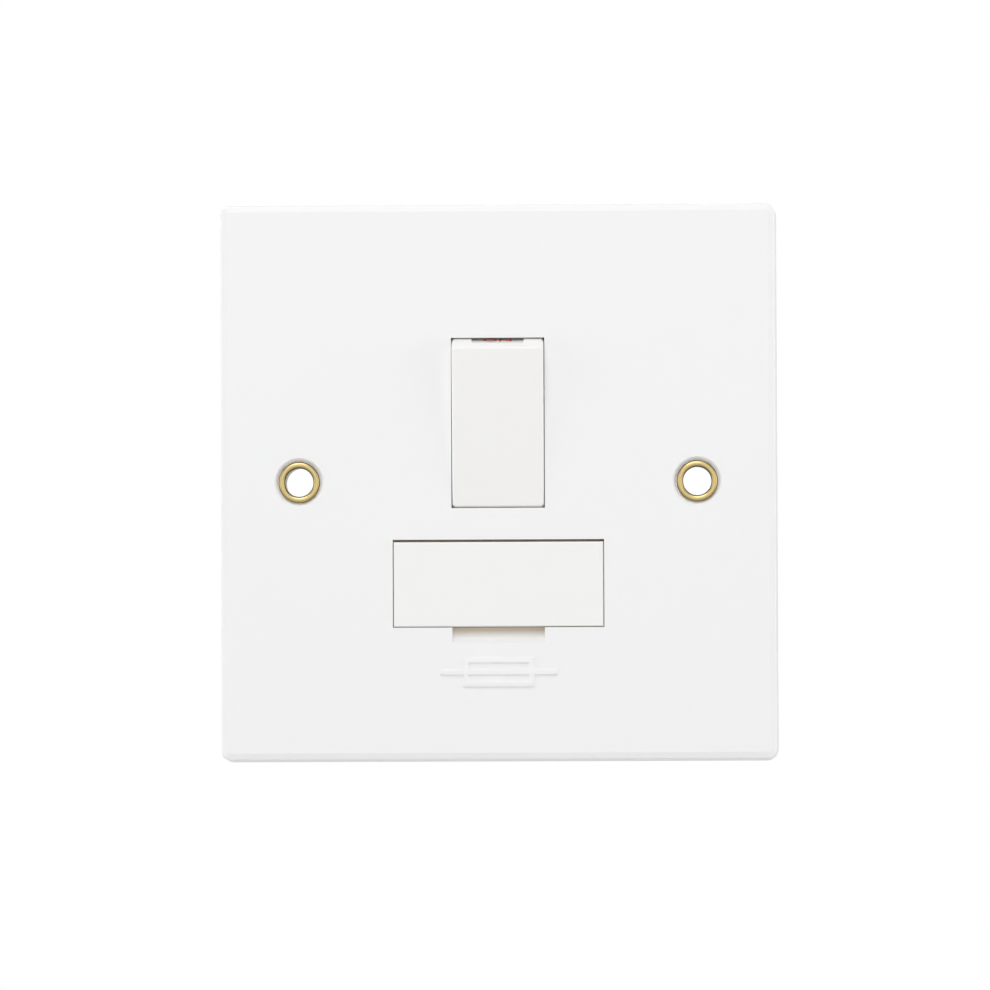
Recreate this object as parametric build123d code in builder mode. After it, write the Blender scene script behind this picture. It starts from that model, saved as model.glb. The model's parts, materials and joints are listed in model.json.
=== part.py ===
"""Switched fused connection unit, one gang: plate, rocker switch, fuse drawer and rear terminals.

Millimetres. X runs to the right, Y into the wall and Z up. The origin is the middle of the two
fixing holes, in the plane of the wall. The rocker stands ON: its lower end is pressed in.
"""

import os
from math import atan2, cos, degrees, pi, radians, sin, sqrt

from build123d import *

# Clearances
seat_gap = 0.05
running_gap = 0.2
end_gap = 0.3
contact_gap = 0.05
plunger_gap = 0.06

# Front plate
fixing_centres = 60.3
plate_side = 85.0
plate_depth = 9.5
plate_draft = 3.0
plate_corner_radius = 1.8
plate_bevel_width = 1.0
plate_bevel_depth = 0.25
plate_edge_radius = 0.3
face_wall = 2.8
rim_wall = 2.4
hollow_corner_radius = 1.2

# Eyelets, their bosses and the earth strap they hold
eyelet_bore = 4.3
eyelet_wall = 0.35
bead_diameter = 6.3
bead_height = 0.55
bead_chamfer = 0.25
bead_gap = 0.1
counterbore_depth = 0.6
counterbore_draft = 38.0
eyelet_boss_diameter = 9.0
tail_diameter = 6.8
tail_thickness = 0.5
strap_thickness = 0.7
strap_width = 6.0
strap_leg_width = 7.4
boss_rib_width = 1.2
boss_rib_drop = 1.0

# Rocker
rocker_height = 8.93
rocker_tilt = 6.0
rocker_face = 24.0
rocker_offset = 6.7
rocker_width = 13.9
rocker_side_gap = 0.12
rocker_end_gap = 0.24
rocker_skirt = 1.0
rocker_face_wall = 1.8
rocker_end_wall = 1.5
rocker_side_wall = 1.4
rocker_corner_chamfer = 0.35
rocker_edge_radius = 0.35
mark_recess_width = 7.9
mark_recess_depth = 0.4
mark_recess_start = 23.0
mark_recess_end = 8.0
trunnion_diameter = 3.0
trunnion_length = 1.8
rocker_boss_height = 6.4
rocker_boss_reach = 5.0
cheek_thickness = 2.0
cheek_height = 9.0
cheek_cover = 1.5
snap_mouth = 2.6

# Plungers and springs, carried in the rocker
pole_spacing = 7.2
plunger_diameter = 3.2
plunger_guide_gap = 0.1
plunger_reach = 11.5
plunger_nose_radius = 2.0
plunger_cap_angle = 28.0
plunger_shoulder = 3.0
plunger_spigot_diameter = 1.6
plunger_spigot_length = 1.0
spring_seat = 4.0
spring_diameter = 2.8
spring_wire = 0.44
spring_turns = 4
spring_turn_steps = 9
spring_wire_sides = 5

# Moving contacts
contact_tilt = 10.0
contact_thickness = 1.6
contact_width = 4.0
contact_upper_arm = 9.2
contact_lower_arm = 6.5
fulcrum_groove_gap = 0.1
tip_length = 2.6
tip_width = 3.0
tip_thickness = 0.6

# Strips
strip_thickness = 1.2
strip_width = 4.0
load_run_width = 3.5
load_run_inset = 0.5
cross_run_inset = 1.0
riser_inset = 1.0

# Rear base
base_wall = 1.8
base_floor = 2.5
base_corner_radius = 2.0
base_rear_chamfer = 0.8
chamber_floor_depth = 13.0
inner_wall = 1.5
barrier_thickness = 1.6
barrier_top = 5.0
chamber_gap = 0.2

# Terminals
terminal_pitch = 9.0
terminal_width = 7.0
terminal_height = 8.0
terminal_front = 3.0
terminal_seat = 11.5
terminal_gap = 0.2
terminal_chamfer = 0.4
wire_bore = 4.2
wire_depth = 5.9
wire_slot_width = 5.0
terminal_screw_diameter = 4.0
terminal_screw_tip_gap = 0.1
terminal_screw_length = 6.8
screw_access_gap = 0.7

# Screws between base and plate
housing_screw_diameter = 2.5
housing_head_diameter = 4.6
housing_head_height = 1.5
housing_screw_grip = 4.8
screw_boss_diameter = 4.4
screw_column_diameter = 5.5
screw_column_top = 0.7
screw_seat_web = 0.3
pilot_spare = 0.4

# Fuse carrier and cartridge fuse
carrier_height = -15.39
carrier_window_width = 32.0
carrier_window_height = 13.3
carrier_top_gap = 0.36
carrier_edge_gap = 0.1
carrier_rebate_depth = 1.4
carrier_ledge = 0.6
carrier_guide_gap = 0.15
carrier_face_wall = 3.0
carrier_edge_radius = 0.25
carrier_floor = 1.0
carrier_arm = 1.6
carrier_arm_height = 5.5
carrier_lug_catch = 0.75
carrier_lug_length = 1.7
carrier_travel = 17.0
cradle_width = 12.0
cradle_wall = 1.2
cradle_rise = 1.5
notch_width = 14.0
notch_depth = 1.0
notch_floor = 1.55
notch_run = 2.25
fuse_diameter = 6.35
fuse_length = 25.4
cap_length = 5.7
cap_wall = 0.3
clip_width = 5.0
clip_sheet = 0.6
clip_mouth_reach = 3.4
clip_flare = 0.7
clip_flare_length = 1.4
clip_web_gap = 1.3
clip_bend_radius = 0.9

# Levels along Y
face_y = -plate_depth
inner_y = face_y + face_wall
strap_rear_y = -tail_thickness
strap_front_y = strap_rear_y - strap_thickness
counterbore_y = face_y + counterbore_depth
floor_y = chamber_floor_depth
base_rear_y = floor_y + base_floor
strip_y = floor_y - strip_thickness
column_y = -screw_column_top

# Fixing holes
fixing_x = fixing_centres / 2
eyelet_outer_radius = eyelet_bore / 2 + eyelet_wall

# Rocker pivot, placed so that the pressed-in edge lies flush with the plate
tilt = radians(rocker_tilt)
rocker_half = rocker_face / 2
rocker_radius = sqrt(rocker_half**2 + rocker_offset**2)
pivot_y = face_y + rocker_offset * cos(tilt) - rocker_half * sin(tilt)
window_radius = rocker_radius + rocker_end_gap
window_width = rocker_width + 2 * rocker_side_gap
plunger_direction = (0, cos(tilt), sin(tilt))
rocker_side = Plane(origin=(0, pivot_y, rocker_height), x_dir=plunger_direction, z_dir=(1, 0, 0))
plunger_plane = Plane(origin=(0, pivot_y, rocker_height), x_dir=(1, 0, 0), z_dir=plunger_direction)
plunger_bore_radius = plunger_diameter / 2 + plunger_guide_gap

# See-saw axis of the moving contacts, in line with their rear faces
pole_x = pole_spacing / 2
seesaw_y = pivot_y + plunger_reach + contact_thickness + plunger_gap
seesaw_angle = radians(-contact_tilt)
tip_start = contact_upper_arm - tip_length

# Heights and widths of the chambers in the rear base
opening_half_width = carrier_window_width / 2 - carrier_ledge
opening_half_height = carrier_window_height / 2 - carrier_ledge
fuse_chamber_half_height = opening_half_height + chamber_gap
fuse_chamber_top = carrier_height + fuse_chamber_half_height
fuse_chamber_bottom = carrier_height - fuse_chamber_half_height
lug_x = opening_half_width + carrier_lug_catch
fuse_chamber_x = lug_x + running_gap
switch_chamber_bottom = fuse_chamber_top + base_wall
terminal_bottom = rocker_height + rocker_radius + terminal_gap
terminal_top = terminal_bottom + terminal_height
terminal_z = (terminal_bottom + terminal_top) / 2
chamber_top = terminal_top + terminal_gap
pocket_width = terminal_width + 2 * terminal_gap
chamber_x = 2 * terminal_pitch + pocket_width / 2
base_x = chamber_x + base_wall
base_top = chamber_top + base_wall
base_bottom = fuse_chamber_bottom - base_wall

# Strip runs on the chamber floor
riser_z = terminal_bottom - strip_thickness
riser_front_y = terminal_front + riser_inset
run_top_z = rocker_height + strip_width / 2
run_bottom_z = rocker_height - strip_width / 2
load_outer_x = chamber_x - load_run_inset
load_inner_x = load_outer_x - load_run_width
supply_outer_x = terminal_pitch + strip_width / 2
cross_run_bottom = switch_chamber_bottom + cross_run_inset
cross_run_top = cross_run_bottom + strip_width

# Fuse, clips and carrier
fuse_radius = fuse_diameter / 2
fuse_x = fuse_length / 2
barrel_radius = fuse_radius - cap_wall - seat_gap
clip_x = fuse_x - cap_length / 2
clip_inner_half = fuse_radius + seat_gap
clip_outer_half = clip_inner_half + clip_sheet
clip_web_y = fuse_radius + clip_web_gap
clip_rear_y = clip_web_y + clip_sheet
flange_x = carrier_window_width / 2 - carrier_edge_gap
flange_bottom = carrier_height - carrier_window_height / 2 + carrier_edge_gap
flange_top = carrier_height + carrier_window_height / 2 - carrier_top_gap
flange_depth = carrier_rebate_depth - seat_gap
carrier_x = opening_half_width - carrier_guide_gap
carrier_bottom = carrier_height - opening_half_height + carrier_guide_gap
carrier_top = carrier_height + opening_half_height - carrier_guide_gap
carrier_slab_y = face_y + carrier_face_wall
lug_front_y = inner_y + carrier_travel + end_gap
lug_rear_y = lug_front_y + carrier_lug_length
cradle_groove_radius = barrel_radius + running_gap
cradle_half_depth = cradle_groove_radius + cradle_wall

# Housing screws on a diagonal: one between the strips, one beside the fuse chamber
upper_screw = (-(supply_outer_x + load_inner_x) / 2, (run_top_z + riser_z) / 2)
lower_screw = ((fuse_chamber_x + base_x) / 2, fuse_chamber_bottom + screw_column_diameter / 2)
housing_screw_places = [upper_screw, lower_screw]
screw_seat_y = floor_y + screw_seat_web
housing_screw_tip_y = column_y - housing_screw_grip

# Terminals from left to right, and the front face of each block
terminal_blocks = [
    ("line_load", -2 * terminal_pitch, terminal_front),
    ("line_supply", -terminal_pitch, terminal_front),
    ("earth", 0, strap_rear_y),
    ("neutral_supply", terminal_pitch, terminal_front),
    ("neutral_load", 2 * terminal_pitch, terminal_front),
]
terminal_places = [(x, terminal_z) for _, x, _ in terminal_blocks]
screw_tip_y = wire_depth + wire_bore / 2 + terminal_screw_tip_gap


def section_at(y):
    """Plane facing the front at depth y: local axes X and Z, and a positive extrude runs forward."""
    return Plane.XZ.offset(-y)


def side_section(x):
    """Plane facing right at X = x: local x is Y and local y is Z."""
    return Plane.YZ.offset(x)


def span(x0, x1, y0, y1, mode=Mode.ADD):
    """Rectangle of the current sketch between two edges each way."""
    with Locations(((x0 + x1) / 2, (y0 + y1) / 2)):
        Rectangle(abs(x1 - x0), abs(y1 - y0), mode=mode)


def contact_plane(x):
    """Side plane of the moving contact at X = x, turned to the closed position about the see-saw axis."""
    return Plane(
        origin=(x, seesaw_y, rocker_height),
        x_dir=(0, cos(seesaw_angle), sin(seesaw_angle)),
        z_dir=(1, 0, 0),
    )


def contact_point(v, u):
    """Y and Z of a point v behind and u along the rear face of a closed moving contact."""
    y = seesaw_y + v * cos(seesaw_angle) - u * sin(seesaw_angle)
    z = rocker_height + v * sin(seesaw_angle) + u * cos(seesaw_angle)
    return (y, z)


def rocker_point(radius, angle):
    """Point of the rocker's side plane, at an angle from the upward line towards the face."""
    return (-radius * sin(radians(angle)), radius * cos(radians(angle)))


supply_run_bottom = contact_point(0, tip_start)[1] - tip_thickness
supply_run_top = supply_run_bottom + strip_width

os.makedirs("parts", exist_ok=True)

# Front plate: a drafted square shell with two windows, bosses and the rocker's bearings
with BuildPart() as front_plate:
    with BuildSketch(section_at(0)):
        RectangleRounded(plate_side, plate_side, plate_corner_radius)
    extrude(amount=plate_depth - plate_bevel_depth, taper=plate_draft)
    # Flat bevel round the face, its outer edge rounded into the sides
    front_end = front_plate.faces().sort_by(Axis.Y)[0]
    extrude(front_end, amount=plate_bevel_depth, taper=degrees(atan2(plate_bevel_width, plate_bevel_depth)))
    fillet(front_plate.edges().group_by(Axis.Y)[2], plate_edge_radius)
    with BuildSketch(section_at(0)):
        hollow_side = plate_side - 2 * rim_wall
        RectangleRounded(hollow_side, hollow_side, hollow_corner_radius)
    extrude(amount=plate_depth - face_wall, mode=Mode.SUBTRACT)
    split(bisect_by=Plane.YZ, keep=Keep.BOTTOM)
    mirror(about=Plane.YZ)
    # Bosses behind the fixing holes, each tied to the rim by a rib
    with BuildSketch(section_at(strap_front_y)):
        with Locations((-fixing_x, 0), (fixing_x, 0)):
            Circle(eyelet_boss_diameter / 2)
    extrude(amount=strap_front_y - inner_y)
    with BuildSketch(section_at(strap_front_y - boss_rib_drop)):
        rib_end = plate_side / 2 - rim_wall / 2
        for side in (-1, 1):
            span(side * fixing_x, side * rib_end, -boss_rib_width / 2, boss_rib_width / 2)
    extrude(amount=strap_front_y - boss_rib_drop - inner_y)
    with BuildSketch(section_at(strap_front_y)):
        with Locations((-fixing_x, 0), (fixing_x, 0)):
            Circle(eyelet_outer_radius + seat_gap)
    extrude(amount=plate_depth, mode=Mode.SUBTRACT)
    with BuildSketch(section_at(counterbore_y)):
        with Locations((-fixing_x, 0), (fixing_x, 0)):
            Circle(bead_diameter / 2 + bead_gap)
    extrude(amount=counterbore_depth, taper=-counterbore_draft, mode=Mode.SUBTRACT)
    # Bosses for the housing screws
    with BuildSketch(section_at(column_y)):
        with Locations(*housing_screw_places):
            Circle(screw_boss_diameter / 2)
    extrude(amount=column_y - inner_y)
    with BuildSketch(section_at(column_y)):
        with Locations(*housing_screw_places):
            Circle(housing_screw_diameter / 2 + seat_gap)
    extrude(amount=housing_screw_grip + pilot_spare, mode=Mode.SUBTRACT)
    # Cheeks with snap-in bearings for the rocker's trunnions, open to the rear
    cheek_rear_y = pivot_y + trunnion_diameter / 2 + cheek_cover
    for start in (-window_width / 2 - cheek_thickness, window_width / 2):
        with BuildSketch(side_section(start)):
            span(inner_y, cheek_rear_y, rocker_height - cheek_height / 2, rocker_height + cheek_height / 2)
            with Locations((pivot_y, rocker_height)):
                Circle(trunnion_diameter / 2 + seat_gap, mode=Mode.SUBTRACT)
            mouth_top = rocker_height + snap_mouth / 2
            span(pivot_y, cheek_rear_y, mouth_top - snap_mouth, mouth_top, Mode.SUBTRACT)
        extrude(amount=cheek_thickness)
    # Rocker window, its ends concentric with the pivot
    with BuildSketch(side_section(0)):
        with Locations((pivot_y, rocker_height)):
            Circle(window_radius)
    extrude(amount=window_width / 2, both=True, mode=Mode.SUBTRACT)
    # Carrier window with a ledge for the carrier's flange, and the lever notch under it
    with BuildSketch(section_at(inner_y)):
        with Locations((0, carrier_height)):
            Rectangle(2 * opening_half_width, 2 * opening_half_height)
    extrude(amount=face_wall, mode=Mode.SUBTRACT)
    with BuildSketch(section_at(face_y + carrier_rebate_depth)):
        with Locations((0, carrier_height)):
            Rectangle(carrier_window_width, carrier_window_height)
    extrude(amount=carrier_rebate_depth, mode=Mode.SUBTRACT)
    with BuildSketch(side_section(0)):
        with BuildLine():
            notch_top = carrier_height - carrier_window_height / 2
            Polyline(
                (face_y, notch_top),
                (face_y + notch_depth, notch_top),
                (face_y + notch_depth, notch_top - notch_floor),
                (face_y, notch_top - notch_run),
                close=True,
            )
        make_face()
    extrude(amount=notch_width / 2, both=True, mode=Mode.SUBTRACT)
front_plate.part.label = "front_plate"
export_step(front_plate.part, "parts/front_plate.step")

# Eyelets: turned tubes with a rolled bead in front and a tail clinched over the earth strap
for name, x in (("left_eyelet", -fixing_x), ("right_eyelet", fixing_x)):
    with BuildPart() as eyelet:
        with BuildSketch(Plane(origin=(x, 0, 0))):
            with BuildLine():
                inner = eyelet_bore / 2
                bead_outer = bead_diameter / 2
                bead_y = counterbore_y - bead_height
                Polyline(
                    (inner, 0),
                    (tail_diameter / 2, 0),
                    (tail_diameter / 2, -tail_thickness),
                    (eyelet_outer_radius, -tail_thickness),
                    (eyelet_outer_radius, counterbore_y),
                    (bead_outer, counterbore_y),
                    (bead_outer, bead_y + bead_chamfer),
                    (bead_outer - bead_chamfer, bead_y),
                    (inner, bead_y),
                    close=True,
                )
            make_face()
        revolve(axis=Axis((x, 0, 0), (0, 1, 0)))
    eyelet.part.label = name
    export_step(eyelet.part, f"parts/{name}.step")

# Earth strap: flat sheet over the terminals, with a leg down to each eyelet
with BuildPart() as earth_strap:
    with BuildSketch(section_at(strap_rear_y)):
        leg_half = strap_leg_width / 2
        strap_top = terminal_z + strap_width / 2
        span(-fixing_x - leg_half, fixing_x + leg_half, terminal_z - strap_width / 2, strap_top)
        for x in (-fixing_x, fixing_x):
            span(x - leg_half, x + leg_half, 0, strap_top)
            with Locations((x, 0)):
                Circle(leg_half)
                Circle(eyelet_outer_radius + seat_gap, mode=Mode.SUBTRACT)
    extrude(amount=strap_thickness)
earth_strap.part.label = "earth_strap"
export_step(earth_strap.part, "parts/earth_strap.step")

# Rocker: a hollow dolly with ends round the pivot, a boss for the plungers and two trunnions
with BuildPart() as rocker:
    with BuildSketch(rocker_side):
        Circle(rocker_radius)
        with Locations((-(rocker_offset + rocker_skirt) / 2, 0)):
            Rectangle(rocker_offset - rocker_skirt, 3 * rocker_radius, mode=Mode.INTERSECT)
    extrude(amount=rocker_width / 2, both=True)
    chamfer(rocker.edges().filter_by(GeomType.CIRCLE), rocker_corner_chamfer)
    face_axis = Axis((0, pivot_y, rocker_height), plunger_direction)
    fillet(rocker.faces().sort_by(face_axis)[0].edges(), rocker_edge_radius)
    with BuildSketch(rocker_side):
        Circle(rocker_radius - rocker_end_wall)
        hollow_depth = rocker_offset - rocker_face_wall
        with Locations((-hollow_depth / 2, 0)):
            Rectangle(hollow_depth, 3 * rocker_radius, mode=Mode.INTERSECT)
    extrude(amount=rocker_width / 2 - rocker_side_wall, both=True, mode=Mode.SUBTRACT)
    with BuildSketch(rocker_side):
        boss_half = rocker_boss_height / 2
        span(-hollow_depth, rocker_boss_reach, -boss_half, boss_half)
    extrude(amount=rocker_width / 2, both=True)
    with BuildSketch(rocker_side):
        Circle(trunnion_diameter / 2)
    extrude(amount=rocker_width / 2 + trunnion_length, both=True)
    with BuildSketch(plunger_plane.offset(-spring_seat)):
        with Locations((-pole_x, 0), (pole_x, 0)):
            Circle(plunger_bore_radius)
    extrude(amount=spring_seat + rocker_boss_reach, mode=Mode.SUBTRACT)
    # Flat-floored recess across the upper end for the mark, running out towards the face
    with BuildSketch(rocker_side):
        with BuildLine():
            recess_clear = rocker_radius + mark_recess_depth
            recess_floor = rocker_radius - mark_recess_depth
            Polyline(
                rocker_point(rocker_radius, mark_recess_start),
                rocker_point(recess_floor, mark_recess_end),
                rocker_point(recess_clear, mark_recess_end),
                rocker_point(recess_clear, mark_recess_start),
                close=True,
            )
        make_face()
    extrude(amount=mark_recess_width / 2, both=True, mode=Mode.SUBTRACT)
rocker.part.label = "rocker"
export_step(rocker.part, "parts/rocker.step")

# One plunger, spring, moving contact and pair of tips for each pole
for pole, x in (("line", -pole_x), ("neutral", pole_x)):
    with BuildPart() as plunger:
        plunger_axis = Axis((x, pivot_y, rocker_height), plunger_direction)
        with BuildSketch(rocker_side.offset(x)):
            with BuildLine():
                plunger_radius = plunger_diameter / 2
                spigot_radius = plunger_spigot_diameter / 2
                nose_centre = plunger_reach - plunger_nose_radius
                cap_angle = radians(plunger_cap_angle)
                cap_start = nose_centre + plunger_nose_radius * cos(cap_angle)
                cap_edge = plunger_nose_radius * sin(cap_angle)
                Polyline(
                    (plunger_reach, 0),
                    (plunger_shoulder - plunger_spigot_length, 0),
                    (plunger_shoulder - plunger_spigot_length, spigot_radius),
                    (plunger_shoulder, spigot_radius),
                    (plunger_shoulder, plunger_radius),
                    (cap_start - plunger_radius + cap_edge, plunger_radius),
                    (cap_start, cap_edge),
                )
                CenterArc((nose_centre, 0), plunger_nose_radius, 0, plunger_cap_angle)
            make_face()
        revolve(axis=plunger_axis)
    plunger.part.label = f"{pole}_plunger"
    export_step(plunger.part, f"parts/{pole}_plunger.step")

    with BuildPart() as spring:
        spring_start = -spring_seat + spring_wire / 2 + seat_gap
        spring_length = plunger_shoulder + spring_seat - spring_wire - 2 * seat_gap
        coil_radius = (spring_diameter - spring_wire) / 2
        coil_steps = spring_turns * spring_turn_steps
        with BuildLine(plunger_plane.offset(spring_start)) as coil:
            Polyline(
                [
                    (
                        x + coil_radius * cos(2 * pi * step / spring_turn_steps),
                        coil_radius * sin(2 * pi * step / spring_turn_steps),
                        spring_length * step / coil_steps,
                    )
                    for step in range(coil_steps + 1)
                ]
            )
        with BuildSketch(Plane(origin=coil.line @ 0, z_dir=coil.line % 0)):
            RegularPolygon(spring_wire / 2, spring_wire_sides)
        sweep(path=coil.line, transition=Transition.RIGHT)
    spring.part.label = f"{pole}_plunger_spring"
    export_step(spring.part, f"parts/{pole}_plunger_spring.step")

    with BuildPart() as moving_contact:
        with BuildSketch(contact_plane(x)):
            span(-contact_thickness, 0, -contact_lower_arm, contact_upper_arm)
            Circle(strip_thickness / 2 + fulcrum_groove_gap, mode=Mode.SUBTRACT)
        extrude(amount=contact_width / 2, both=True)
    moving_contact.part.label = f"{pole}_moving_contact"
    export_step(moving_contact.part, f"parts/{pole}_moving_contact.step")

    with BuildPart() as moving_tip:
        with BuildSketch(contact_plane(x)):
            span(0, tip_thickness, tip_start, contact_upper_arm)
        extrude(amount=tip_width / 2, both=True)
    moving_tip.part.label = f"{pole}_moving_tip"
    export_step(moving_tip.part, f"parts/{pole}_moving_tip.step")

    # Fixed tip: a wedge on the supply strip, parallel to the closed moving tip
    with BuildPart() as fixed_tip:
        with BuildSketch(side_section(x)):
            with BuildLine():
                lower = contact_point(tip_thickness + contact_gap, tip_start)
                upper = contact_point(tip_thickness + contact_gap, contact_upper_arm)
                Polyline(lower, upper, (strip_y, upper[1]), (strip_y, lower[1]), close=True)
            make_face()
        extrude(amount=tip_width / 2, both=True)
    fixed_tip.part.label = f"{pole}_fixed_tip"
    export_step(fixed_tip.part, f"parts/{pole}_fixed_tip.step")

    # Supply strip: from the fixed tip outwards and up to the supply terminal
    with BuildPart() as supply_strip:
        side = 1 if x > 0 else -1
        inner_x = side * (pole_x - contact_width / 2)
        outer_x = side * supply_outer_x
        riser_inner_x = side * (supply_outer_x - strip_width)
        with BuildSketch(section_at(floor_y)):
            span(inner_x, outer_x, supply_run_bottom, supply_run_top)
            span(riser_inner_x, outer_x, supply_run_bottom, terminal_bottom)
        extrude(amount=strip_thickness)
        with BuildSketch(section_at(floor_y)):
            span(riser_inner_x, outer_x, riser_z, terminal_bottom)
        extrude(amount=floor_y - riser_front_y)
    supply_strip.part.label = f"{pole}_supply_strip"
    export_step(supply_strip.part, f"parts/{pole}_supply_strip.step")

# Neutral load strip: fulcrum of the neutral contact, then across and up to its terminal
with BuildPart() as neutral_load_strip:
    with BuildSketch(section_at(floor_y)):
        span(pole_x - contact_width / 2, load_outer_x, run_bottom_z, run_top_z)
        span(load_inner_x, load_outer_x, run_bottom_z, terminal_bottom)
    extrude(amount=strip_thickness)
    with BuildSketch(section_at(floor_y)):
        span(load_inner_x, load_outer_x, riser_z, terminal_bottom)
    extrude(amount=floor_y - riser_front_y)
    with BuildSketch(side_section(pole_x)):
        span(seesaw_y, floor_y, rocker_height - strip_thickness / 2, rocker_height + strip_thickness / 2)
        with Locations((seesaw_y, rocker_height)):
            Circle(strip_thickness / 2)
    extrude(amount=contact_width / 2, both=True)
neutral_load_strip.part.label = "neutral_load_strip"
export_step(neutral_load_strip.part, "parts/neutral_load_strip.step")

# Line switched strip: fulcrum of the line contact, down, across and through to the supply fuse clip
with BuildPart() as line_switched_strip:
    with BuildSketch(section_at(floor_y)):
        strip_inner_x = -pole_x + contact_width / 2
        strip_outer_x = -pole_x - contact_width / 2
        span(strip_outer_x, strip_inner_x, cross_run_bottom, run_top_z)
        span(strip_outer_x, clip_x + strip_width / 2, cross_run_bottom, cross_run_top)
        span(clip_x - strip_width / 2, clip_x + strip_width / 2, carrier_height, cross_run_top)
    extrude(amount=strip_thickness)
    with BuildSketch(side_section(-pole_x)):
        span(seesaw_y, floor_y, rocker_height - strip_thickness / 2, rocker_height + strip_thickness / 2)
        with Locations((seesaw_y, rocker_height)):
            Circle(strip_thickness / 2)
    extrude(amount=contact_width / 2, both=True)
    with BuildSketch(section_at(floor_y)):
        with Locations((clip_x, carrier_height)):
            Rectangle(strip_width, strip_thickness)
    extrude(amount=floor_y - clip_rear_y)
line_switched_strip.part.label = "line_switched_strip"
export_step(line_switched_strip.part, "parts/line_switched_strip.step")

# Line load strip: from the load fuse clip through the wall, outwards and up to its terminal
with BuildPart() as line_load_strip:
    with BuildSketch(section_at(floor_y)):
        span(-clip_x - strip_width / 2, -clip_x + strip_width / 2, carrier_height, cross_run_top)
        span(-load_outer_x, -clip_x + strip_width / 2, cross_run_bottom, cross_run_top)
        span(-load_outer_x, -load_inner_x, cross_run_bottom, terminal_bottom)
    extrude(amount=strip_thickness)
    with BuildSketch(section_at(floor_y)):
        span(-load_outer_x, -load_inner_x, riser_z, terminal_bottom)
    extrude(amount=floor_y - riser_front_y)
    with BuildSketch(section_at(floor_y)):
        with Locations((-clip_x, carrier_height)):
            Rectangle(strip_width, strip_thickness)
    extrude(amount=floor_y - clip_rear_y)
line_load_strip.part.label = "line_load_strip"
export_step(line_load_strip.part, "parts/line_load_strip.step")

# Fuse clips: sheet bent to a U behind each end cap, with a flared mouth
for name, x in (("load_fuse_clip", -clip_x), ("supply_fuse_clip", clip_x)):
    with BuildPart() as fuse_clip:
        with BuildSketch(side_section(x)):
            with Locations((0, carrier_height)):
                span(-clip_mouth_reach, clip_rear_y, -clip_outer_half, clip_outer_half)
                span(-clip_mouth_reach, clip_web_y, -clip_inner_half, clip_inner_half, Mode.SUBTRACT)
            for side in (-1, 1):
                with BuildLine():
                    mouth_y = -clip_mouth_reach - clip_flare_length
                    Polyline(
                        (-clip_mouth_reach, carrier_height + side * clip_inner_half),
                        (-clip_mouth_reach, carrier_height + side * clip_outer_half),
                        (mouth_y, carrier_height + side * (clip_outer_half + clip_flare)),
                        (mouth_y, carrier_height + side * (clip_inner_half + clip_flare)),
                        close=True,
                    )
                make_face()
        extrude(amount=clip_width / 2, both=True)
        fillet(fuse_clip.edges().filter_by(Axis.X).group_by(Axis.Y)[-1], clip_bend_radius)
    fuse_clip.part.label = name
    export_step(fuse_clip.part, f"parts/{name}.step")

# Cartridge fuse: ceramic barrel with a metal cup on each end
with BuildPart() as fuse_barrel:
    with BuildSketch(side_section(0)):
        with Locations((0, carrier_height)):
            Circle(barrel_radius)
    extrude(amount=fuse_x - cap_wall - seat_gap, both=True)
fuse_barrel.part.label = "fuse_barrel"
export_step(fuse_barrel.part, "parts/fuse_barrel.step")

with BuildPart() as fuse_end_caps:
    for start in (-fuse_x, fuse_x - cap_length):
        with BuildSketch(side_section(start)):
            with Locations((0, carrier_height)):
                Circle(fuse_radius)
        extrude(amount=cap_length)
    with BuildSketch(side_section(0)):
        with Locations((0, carrier_height)):
            Circle(fuse_radius - cap_wall)
    extrude(amount=fuse_x - cap_wall, both=True, mode=Mode.SUBTRACT)
fuse_end_caps.part.label = "fuse_end_caps"
export_step(fuse_end_caps.part, "parts/fuse_end_caps.step")

# Fuse carrier: flush flange, floor, a cradle for the barrel and two arms with catching lugs
with BuildPart() as fuse_carrier:
    with BuildSketch(section_at(face_y + flange_depth)):
        span(-flange_x, flange_x, flange_bottom, flange_top)
    extrude(amount=flange_depth)
    fillet(fuse_carrier.faces().sort_by(Axis.Y)[0].edges(), carrier_edge_radius)
    with BuildSketch(section_at(carrier_slab_y)):
        span(-carrier_x, carrier_x, carrier_bottom, carrier_top)
    extrude(amount=carrier_face_wall - flange_depth)
    floor_top = carrier_bottom + carrier_floor
    with BuildSketch(section_at(cradle_half_depth)):
        span(-carrier_x, carrier_x, carrier_bottom, floor_top)
    extrude(amount=cradle_half_depth - carrier_slab_y)
    with BuildSketch(side_section(0)):
        cradle_top = carrier_height + cradle_rise
        span(-cradle_half_depth, cradle_half_depth, carrier_bottom, cradle_top)
        with Locations((0, carrier_height)):
            Circle(cradle_groove_radius, mode=Mode.SUBTRACT)
        with Locations((0, carrier_height + cradle_rise)):
            Rectangle(2 * cradle_groove_radius, 2 * cradle_rise, mode=Mode.SUBTRACT)
    extrude(amount=cradle_width / 2, both=True)
    for side in (-1, 1):
        with BuildSketch(section_at(lug_rear_y)):
            arm_top = carrier_bottom + carrier_arm_height
            span(side * (carrier_x - carrier_arm), side * carrier_x, carrier_bottom, arm_top)
        extrude(amount=lug_rear_y - carrier_slab_y)
        with BuildSketch(Plane.XY.offset(floor_top)):
            with BuildLine():
                Polyline(
                    (side * carrier_x, lug_front_y),
                    (side * lug_x, lug_front_y),
                    (side * carrier_x, lug_rear_y),
                    close=True,
                )
            make_face()
        extrude(amount=arm_top - floor_top)
fuse_carrier.part.label = "fuse_carrier"
export_step(fuse_carrier.part, "parts/fuse_carrier.step")

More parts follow.
